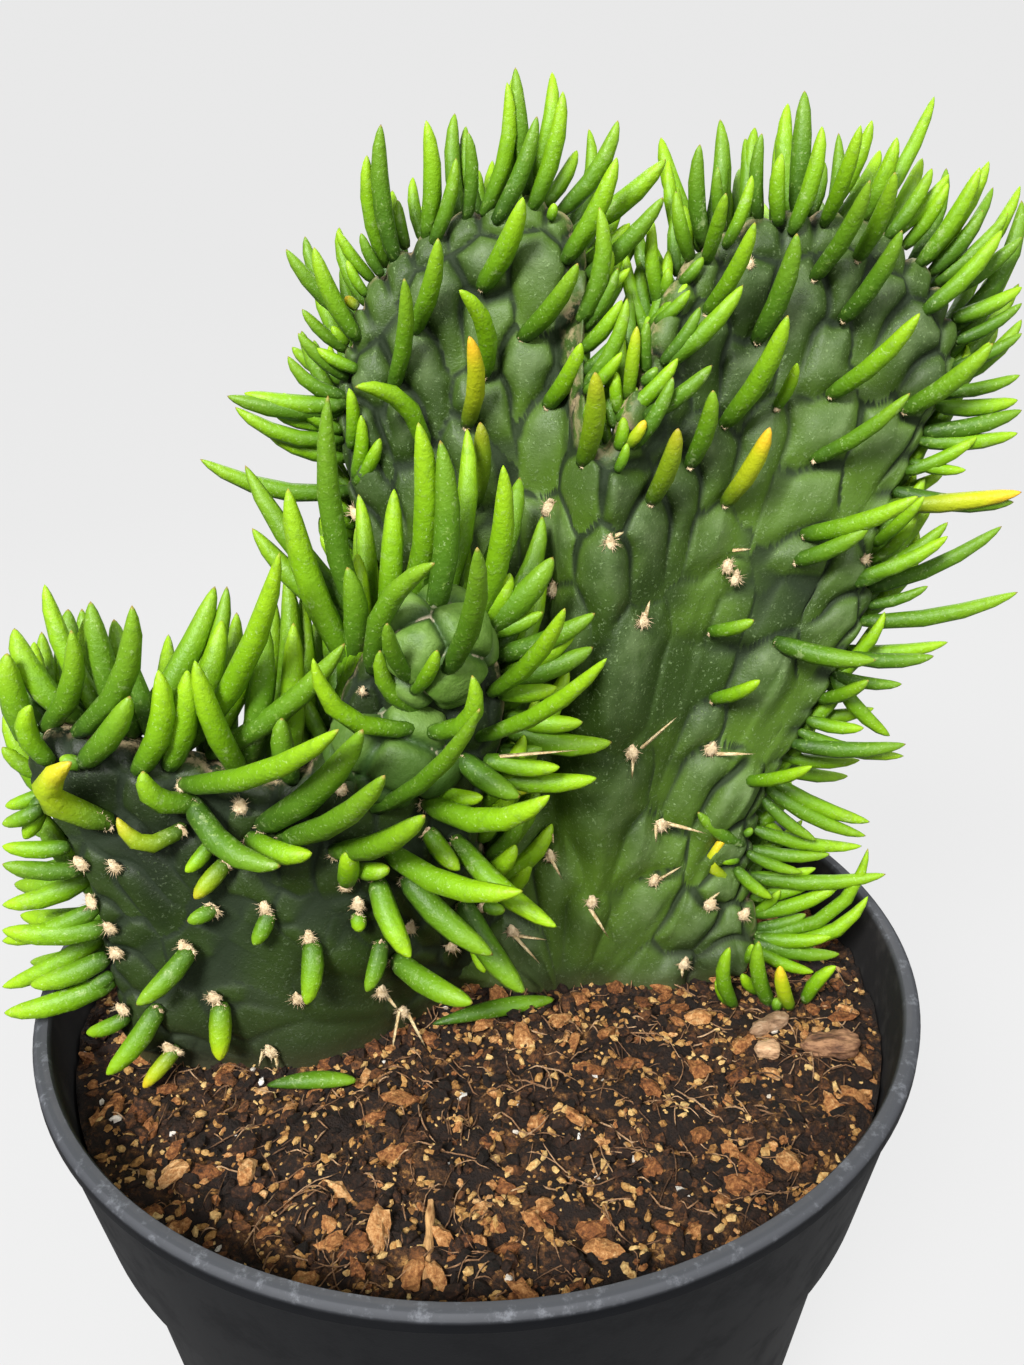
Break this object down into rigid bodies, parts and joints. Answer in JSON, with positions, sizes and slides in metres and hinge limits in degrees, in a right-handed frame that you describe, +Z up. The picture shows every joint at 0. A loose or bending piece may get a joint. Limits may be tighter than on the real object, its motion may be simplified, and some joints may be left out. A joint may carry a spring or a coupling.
{
  "type": "potted eves needle cactus",
  "caption": "Crested eves needle cactus with a lobed fan stem and finger-like needle leaves, standing in a round black nursery pot.",
  "frame": {"origin": "centre of the pot's flat bottom, which it stands on", "axes": "+Z up, from the pot's bottom to the leaf tips; +X to the right as the broad face of the crest is looked at, and -Y towards the viewer"},
  "size_m": [0.1729, 0.15, 0.2508],
  "materials": {
    "pot_plastic": "matte",
    "soil_mix": "rough",
    "cactus_flesh": "satin",
    "bark": "rough",
    "stone": "rough",
    "dropped_leaf": "satin"
  },
  "bodies": {
    "root": {"pot": "pot_plastic", "soil": "soil_mix", "crested_cactus": "cactus_flesh", "bark_chunk": "bark", "bark_strip": "bark", "stone_lump": "stone", "fallen_leaf_front": "dropped_leaf", "fallen_leaf_left": "dropped_leaf", "twig": "bark"}
  },
  "joints": []
}
